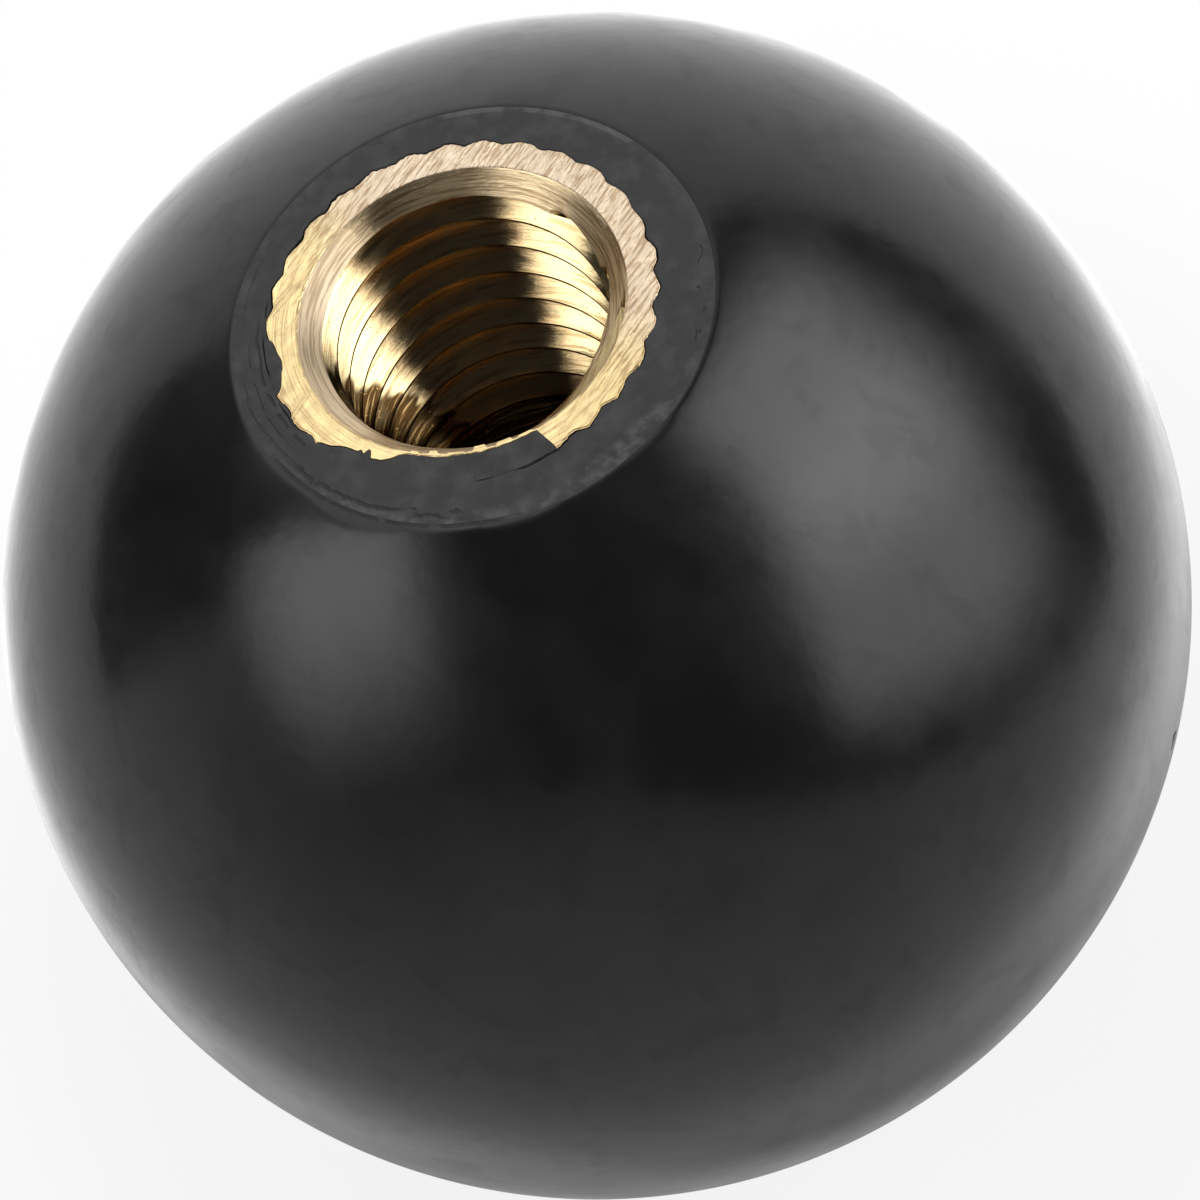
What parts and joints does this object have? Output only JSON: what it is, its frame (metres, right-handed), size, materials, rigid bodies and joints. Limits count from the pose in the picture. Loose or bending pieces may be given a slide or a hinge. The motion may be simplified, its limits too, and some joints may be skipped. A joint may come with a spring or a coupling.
{
  "type": "ball knob",
  "caption": "Glossy black resin ball knob with a flat at its mouth and a knurled brass bush, moulded in, with a blind metric thread for a lever or stud.",
  "frame": {"origin": "centre of the brass bush's mouth, in the plane of the flat", "axes": "+Z along the thread's axis and out of the mouth, -Y towards the side where the resin skin lies over the bush's face"},
  "size_m": [0.04, 0.04, 0.0385],
  "materials": {
    "resin": "polished black phenolic resin, matt on the cut flat",
    "brass": "turned and filed"
  },
  "bodies": {
    "root": {"ball": "resin", "threaded_insert": "brass"}
  },
  "joints": []
}
